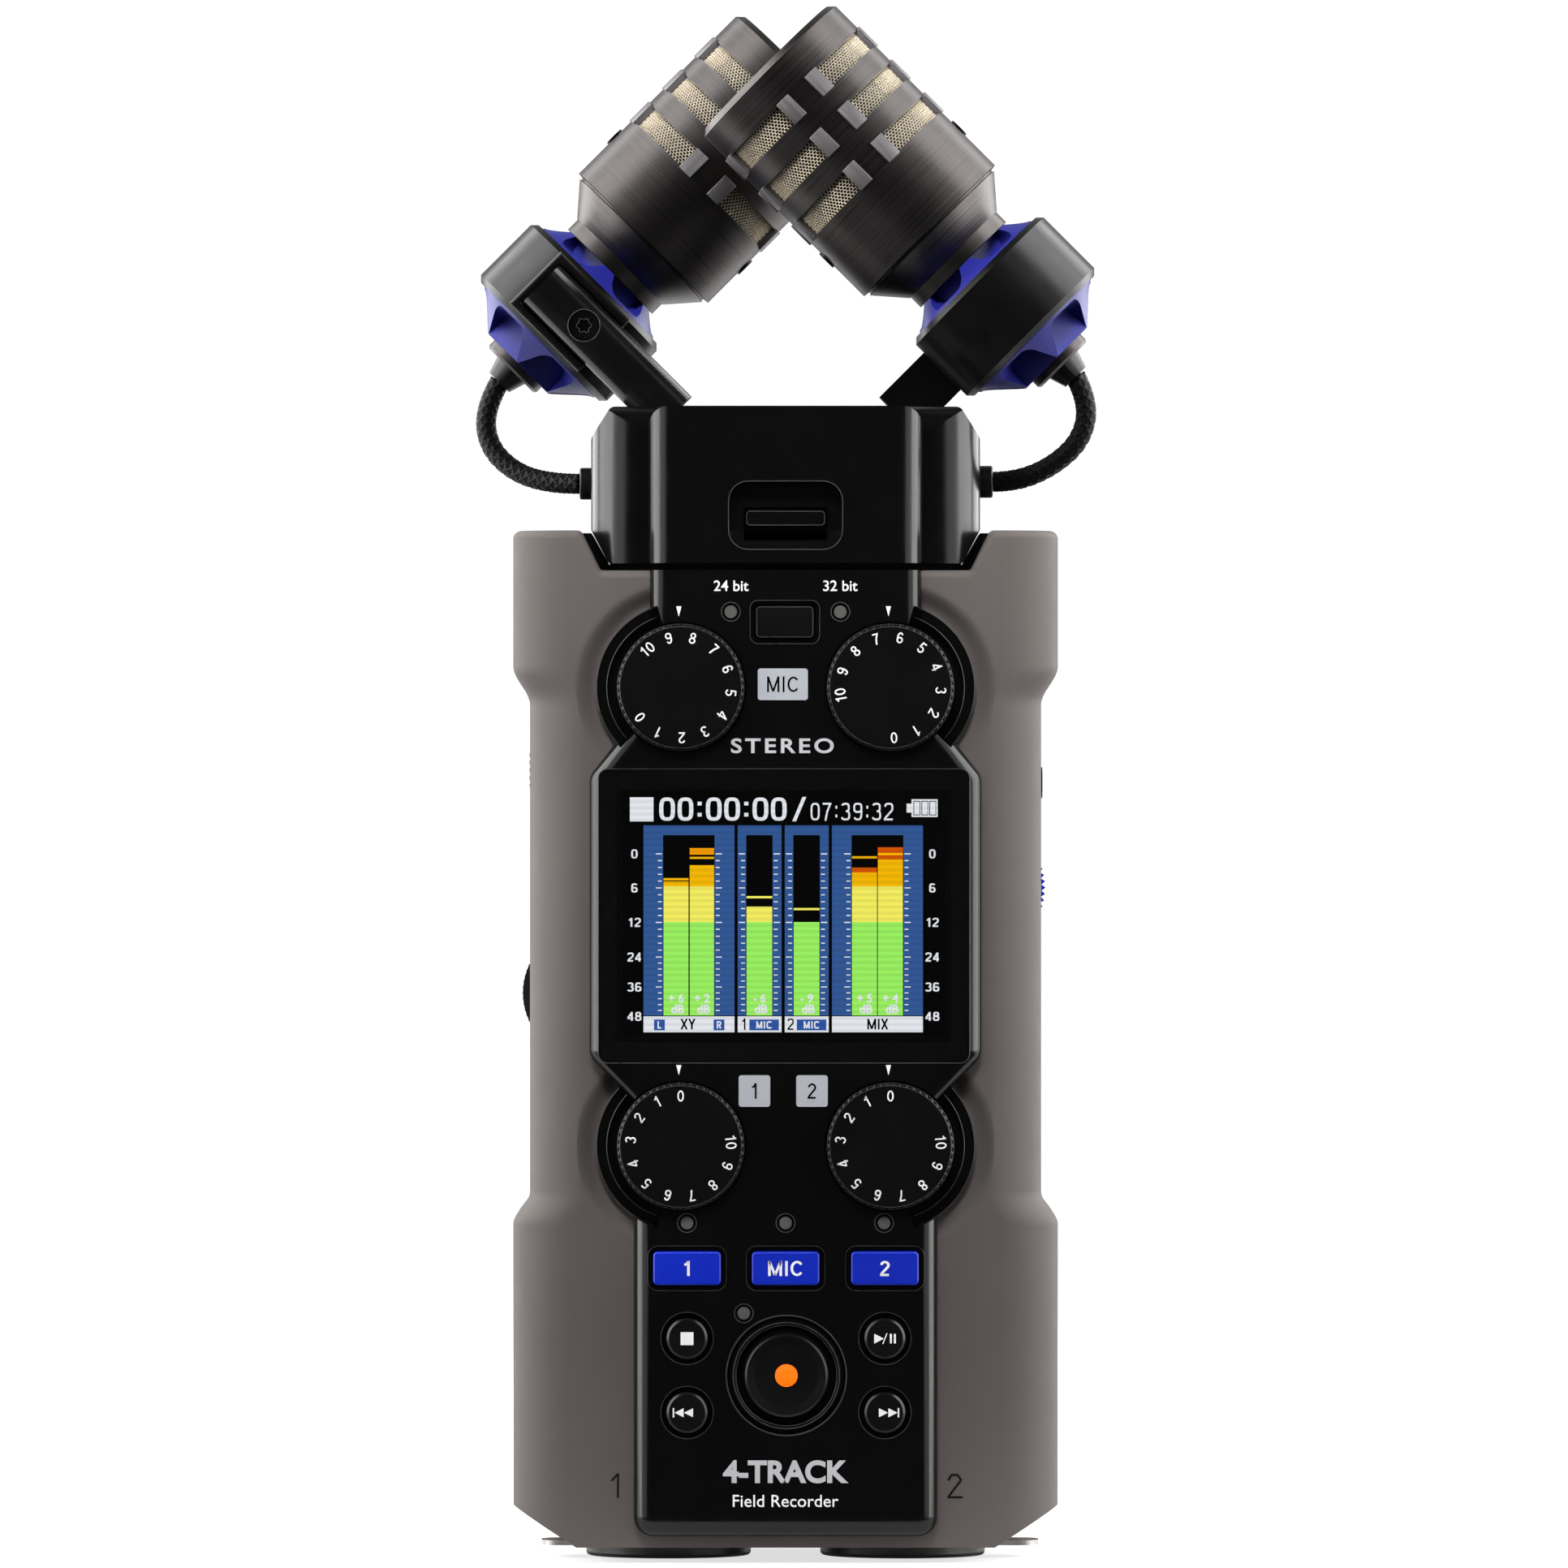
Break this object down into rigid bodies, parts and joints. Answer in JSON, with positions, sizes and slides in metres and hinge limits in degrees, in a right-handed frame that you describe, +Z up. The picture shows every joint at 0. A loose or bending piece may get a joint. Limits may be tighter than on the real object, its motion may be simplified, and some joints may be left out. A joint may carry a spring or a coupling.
{
  "type": "portable field recorder",
  "caption": "Upright battery-powered field recorder with colour screen, gain knobs, transport buttons, combo input jacks and a plug-in crossed microphone module.",
  "frame": {"origin": "under the middle of the body, level with the feet of the input jacks that it stands on", "axes": "+Z up the long axis, -Y out of the front with the screen, +X to the right seen from the front"},
  "size_m": [0.0799, 0.0484, 0.1979],
  "materials": {
    "case_plastic": "fine even spark texture, low sheen",
    "panel_plastic": "smooth satin black",
    "screen_window": "clear window with a printed black border",
    "display": "lit colour display",
    "knob_plastic": "satin black, fine knurl, printed white numbers",
    "button_rubber": "satin black",
    "key_blue": "satin blue",
    "record_orange": "lit orange lens",
    "led_lens": "frosted grey",
    "dial_blue": "satin blue, pointed teeth",
    "wheel_black": "satin black, knurled",
    "latch_steel": "bright pressed steel",
    "jack_plastic": "moulded black",
    "contact_metal": "gold plated",
    "board_green": "solder mask",
    "pot_metal": "zinc plated",
    "cell_wrap": "printed sleeve",
    "spring_steel": "nickel plated",
    "socket_metal": "nickel plated",
    "insert_brass": "turned",
    "screw_black": "black oxide",
    "module_plastic": "smooth satin black",
    "arm_black": "satin black paint",
    "ring_black": "satin black anodised",
    "elastomer_blue": "soft satin blue",
    "mic_black": "brushed round, black anodised",
    "mesh_metal": "woven wire",
    "lead_braid": "braided",
    "print_white": "printed ink",
    "badge_grey": "printed ink"
  },
  "bodies": {
    "recorder": {"front_case": "case_plastic", "rear_case": "case_plastic", "front_panel": "panel_plastic", "screen_lens": "screen_window", "lcd_module": "display", "light_guides": "led_lens", "input_jack_1": "jack_plastic", "input_jack_2": "jack_plastic", "jack_contacts": "contact_metal", "side_sockets": "socket_metal", "card_socket": "socket_metal", "memory_card": "panel_plastic", "tripod_insert": "insert_brass", "speaker": "wheel_black", "module_socket": "jack_plastic", "case_screws": "screw_black", "main_board": "board_green", "potentiometers": "pot_metal", "key_switches": "spring_steel", "battery_cells": "cell_wrap", "battery_contacts": "spring_steel"},
    "knob_mic_left": {"knob_mic_left": "knob_plastic"},
    "knob_mic_right": {"knob_mic_right": "knob_plastic"},
    "knob_input_1": {"knob_input_1": "knob_plastic"},
    "knob_input_2": {"knob_input_2": "knob_plastic"},
    "stop_button": {"stop_button": "button_rubber"},
    "play_button": {"play_button": "button_rubber"},
    "rewind_button": {"rewind_button": "button_rubber"},
    "forward_button": {"forward_button": "button_rubber"},
    "format_button": {"format_button": "button_rubber"},
    "track_key_1": {"track_key_1": "key_blue"},
    "track_key_mic": {"track_key_mic": "key_blue"},
    "track_key_2": {"track_key_2": "key_blue"},
    "record_button": {"record_button": "button_rubber", "record_lens": "record_orange"},
    "menu_button": {"menu_button": "button_rubber"},
    "wheel_carriage": {"wheel_carriage": "wheel_black"},
    "select_wheel": {"select_wheel": "dial_blue"},
    "volume_wheel": {"volume_wheel": "wheel_black"},
    "power_slider": {"power_slider": "wheel_black"},
    "battery_door": {"battery_door": "case_plastic"},
    "card_cover": {"card_cover": "case_plastic"},
    "latch_tab_1": {"latch_tab_1": "latch_steel"},
    "latch_tab_2": {"latch_tab_2": "latch_steel"},
    "mic_module": {"module_shell": "module_plastic", "module_plug": "jack_plastic", "arm_left": "arm_black", "arm_right": "arm_black", "clamp_screws": "screw_black", "ring_left": "ring_black", "ring_right": "ring_black", "shock_mount_left": "elastomer_blue", "shock_mount_right": "elastomer_blue", "mic_left": "mic_black", "mic_right": "mic_black", "mic_meshes": "mesh_metal", "lead_left": "lead_braid", "lead_right": "lead_braid", "lead_boots": "button_rubber"},
    "release_latch": {"release_latch": "module_plastic"}
  },
  "joints": [
    {"name": "knob_mic_left_turn", "type": "hinge", "parent": "recorder", "child": "knob_mic_left", "pos_m": [-0.0133, 0, 0.1111], "axis": [0, 1, 0], "range_deg": [-233.75, 41.25]},
    {"name": "knob_mic_right_turn", "type": "hinge", "parent": "recorder", "child": "knob_mic_right", "pos_m": [0.0133, 0, 0.1111], "axis": [0, 1, 0], "range_deg": [-176, 99]},
    {"name": "knob_input_1_turn", "type": "hinge", "parent": "recorder", "child": "knob_input_1", "pos_m": [-0.0133, 0, 0.0529], "axis": [0, 1, 0], "range_deg": [0, 275]},
    {"name": "knob_input_2_turn", "type": "hinge", "parent": "recorder", "child": "knob_input_2", "pos_m": [0.0133, 0, 0.0529], "axis": [0, 1, 0], "range_deg": [0, 275]},
    {"name": "stop_button_press", "type": "slide", "parent": "recorder", "child": "stop_button", "axis": [0, 1, 0], "range_m": [0, 0.0006], "stiffness_N_per_m": 800},
    {"name": "play_button_press", "type": "slide", "parent": "recorder", "child": "play_button", "axis": [0, 1, 0], "range_m": [0, 0.0006], "stiffness_N_per_m": 800},
    {"name": "rewind_button_press", "type": "slide", "parent": "recorder", "child": "rewind_button", "axis": [0, 1, 0], "range_m": [0, 0.0006], "stiffness_N_per_m": 800},
    {"name": "forward_button_press", "type": "slide", "parent": "recorder", "child": "forward_button", "axis": [0, 1, 0], "range_m": [0, 0.0006], "stiffness_N_per_m": 800},
    {"name": "format_button_press", "type": "slide", "parent": "recorder", "child": "format_button", "axis": [0, 1, 0], "range_m": [0, 0.0006], "stiffness_N_per_m": 800},
    {"name": "track_key_1_press", "type": "slide", "parent": "recorder", "child": "track_key_1", "axis": [0, 1, 0], "range_m": [0, 0.0006], "stiffness_N_per_m": 800},
    {"name": "track_key_mic_press", "type": "slide", "parent": "recorder", "child": "track_key_mic", "axis": [0, 1, 0], "range_m": [0, 0.0006], "stiffness_N_per_m": 800},
    {"name": "track_key_2_press", "type": "slide", "parent": "recorder", "child": "track_key_2", "axis": [0, 1, 0], "range_m": [0, 0.0006], "stiffness_N_per_m": 800},
    {"name": "record_button_press", "type": "slide", "parent": "recorder", "child": "record_button", "axis": [0, 1, 0], "range_m": [0, 0.0006], "stiffness_N_per_m": 800},
    {"name": "menu_button_press", "type": "slide", "parent": "recorder", "child": "menu_button", "axis": [-1, 0, 0], "range_m": [0, 0.0005], "stiffness_N_per_m": 800},
    {"name": "wheel_carriage_press", "type": "slide", "parent": "recorder", "child": "wheel_carriage", "axis": [-1, 0, 0], "range_m": [0, 0.0005], "stiffness_N_per_m": 800},
    {"name": "select_wheel_spin", "type": "hinge", "parent": "wheel_carriage", "child": "select_wheel", "pos_m": [0.02455, 0, 0.0856], "axis": [0, 1, 0], "continuous": true},
    {"name": "volume_wheel_turn", "type": "hinge", "parent": "recorder", "child": "volume_wheel", "pos_m": [-0.02525, 0, 0.0721], "axis": [0, 1, 0], "range_deg": [-140, 140]},
    {"name": "power_slider_slide", "type": "slide", "parent": "recorder", "child": "power_slider", "axis": [0, 0, 1], "range_m": [-0.0025, 0.0025]},
    {"name": "battery_door_pull", "type": "slide", "parent": "recorder", "child": "battery_door", "axis": [0, 1, 0], "range_m": [0, 0.02]},
    {"name": "card_cover_hinge", "type": "hinge", "parent": "recorder", "child": "card_cover", "pos_m": [0.0322, -0.00375, 0.0525], "axis": [0, 1, 0], "range_deg": [0, 100]},
    {"name": "latch_tab_1_hinge", "type": "hinge", "parent": "recorder", "child": "latch_tab_1", "pos_m": [-0.02682, 0, 0.0044], "axis": [0, 1, 0], "range_deg": [0, 8], "stiffness_Nm_per_rad": 0.06, "springref_deg": -2.86},
    {"name": "latch_tab_2_hinge", "type": "hinge", "parent": "recorder", "child": "latch_tab_2", "pos_m": [0.02682, 0, 0.0044], "axis": [0, -1, 0], "range_deg": [0, 8], "stiffness_Nm_per_rad": 0.06, "springref_deg": -2.86},
    {"name": "mic_module_pull", "type": "slide", "parent": "recorder", "child": "mic_module", "axis": [0, 0, 1], "range_m": [0, 0.02]},
    {"name": "release_latch_press", "type": "slide", "parent": "mic_module", "child": "release_latch", "axis": [0, 0, -1], "range_m": [0, 0.0012], "stiffness_N_per_m": 500, "springref_m": -0.0005}
  ]
}
